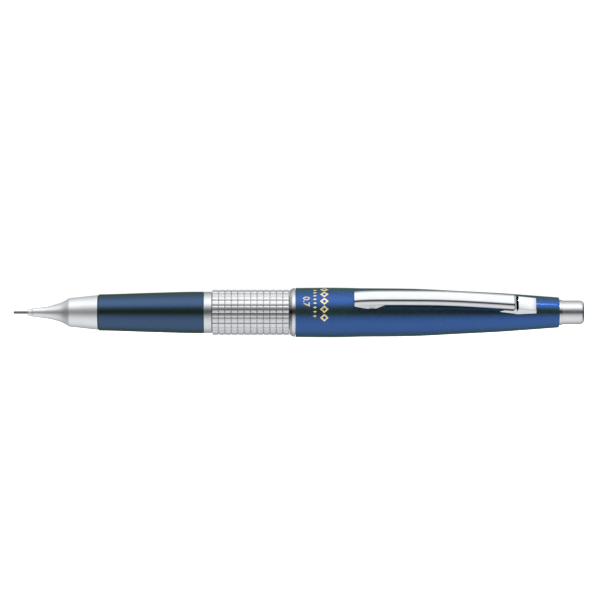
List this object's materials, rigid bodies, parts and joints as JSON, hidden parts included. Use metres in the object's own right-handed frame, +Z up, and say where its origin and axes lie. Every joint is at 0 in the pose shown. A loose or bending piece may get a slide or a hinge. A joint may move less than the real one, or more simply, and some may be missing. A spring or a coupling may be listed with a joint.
{
  "type": "mechanical pencil",
  "caption": "Slim mechanical pencil with a lacquered cap that pulls off, knurled ring, satin cone, spring pocket clip and push button.",
  "frame": {"origin": "on the surface the pencil lies on, under the middle of its box", "axes": "+X along the pencil from lead tip to push button, +Z up; the clip side faces -Y and 27 degrees up"},
  "size_m": [0.138, 0.0152, 0.0121],
  "materials": {
    "satin_chrome": "satin",
    "polished_chrome": "polished",
    "blue_lacquer": "gloss metallic lacquer",
    "brass": "turned",
    "steel": "drawn",
    "black_plastic": "moulded",
    "grey_plastic": "moulded",
    "clear_plastic": "clear extruded",
    "black_rubber": "matt",
    "white_rubber": "matt eraser",
    "graphite": "graphite lead"
  },
  "bodies": {
    "barrel": {"nose_cone": "satin_chrome", "lead_sleeve": "steel", "lead_brake": "black_rubber", "front_barrel": "blue_lacquer", "barrel_liner": "brass", "chuck_housing": "brass", "seat_ring": "polished_chrome", "knurled_ring": "satin_chrome", "centre_coupling": "brass", "rear_barrel": "black_plastic", "barrel_end_bush": "satin_chrome", "return_spring": "steel"},
    "feed": {"chuck": "brass", "chuck_connector": "brass", "lead_tank": "clear_plastic", "spare_lead_1": "graphite", "spare_lead_2": "graphite", "spare_lead_3": "graphite", "eraser": "white_rubber", "eraser_holder": "steel", "inner_button": "satin_chrome"},
    "clutch": {"clutch_ring": "brass"},
    "lead": {"writing_lead": "graphite"},
    "friction_ring": {"cap_friction_ring": "black_rubber"},
    "cap": {"cap_tube": "blue_lacquer", "cap_mouth_ring": "polished_chrome", "cap_liner": "brass", "cap_guide_bush": "grey_plastic", "cap_end_bush": "polished_chrome", "clip_root": "polished_chrome", "button_spring": "steel"},
    "clip": {"clip_arm": "polished_chrome"},
    "button": {"cap_button": "satin_chrome", "pusher": "grey_plastic"}
  },
  "joints": [
    {"name": "cap_turn", "type": "hinge", "parent": "barrel", "child": "friction_ring", "pos_m": [0.0036, 0.00156, 0.00604], "axis": [1, 0, 0], "continuous": true},
    {"name": "cap_pull", "type": "slide", "parent": "friction_ring", "child": "cap", "axis": [1, 0, 0], "range_m": [0, 0.04]},
    {"name": "button_press", "type": "slide", "parent": "cap", "child": "button", "axis": [-1, 0, 0], "range_m": [0, 0.002], "stiffness_N_per_m": 600, "springref_m": -0.0015, "deforming": ["button_spring"]},
    {"name": "feed_slide", "type": "slide", "parent": "barrel", "child": "feed", "axis": [-1, 0, 0], "range_m": [0, 0.002], "stiffness_N_per_m": 1200, "springref_m": -0.0025, "deforming": ["return_spring"]},
    {"name": "clutch_slide", "type": "slide", "parent": "barrel", "child": "clutch", "axis": [-1, 0, 0], "range_m": [0, 0.0005]},
    {"name": "lead_feed", "type": "slide", "parent": "barrel", "child": "lead", "axis": [-1, 0, 0], "range_m": [-0.0032, 0.01]},
    {"name": "clip_flex", "type": "hinge", "parent": "cap", "child": "clip", "pos_m": [0.0523, -0.00308, 0.0084], "axis": [0, 0.454, 0.891], "range_deg": [0, 4], "stiffness_Nm_per_rad": 2.2, "springref_deg": -1.72}
  ],
  "couplings": [
    {"joint": "feed_slide", "follows": "button_press", "ratio": 1},
    {"joint": "clutch_slide", "follows": "button_press", "ratio": 0.25}
  ]
}
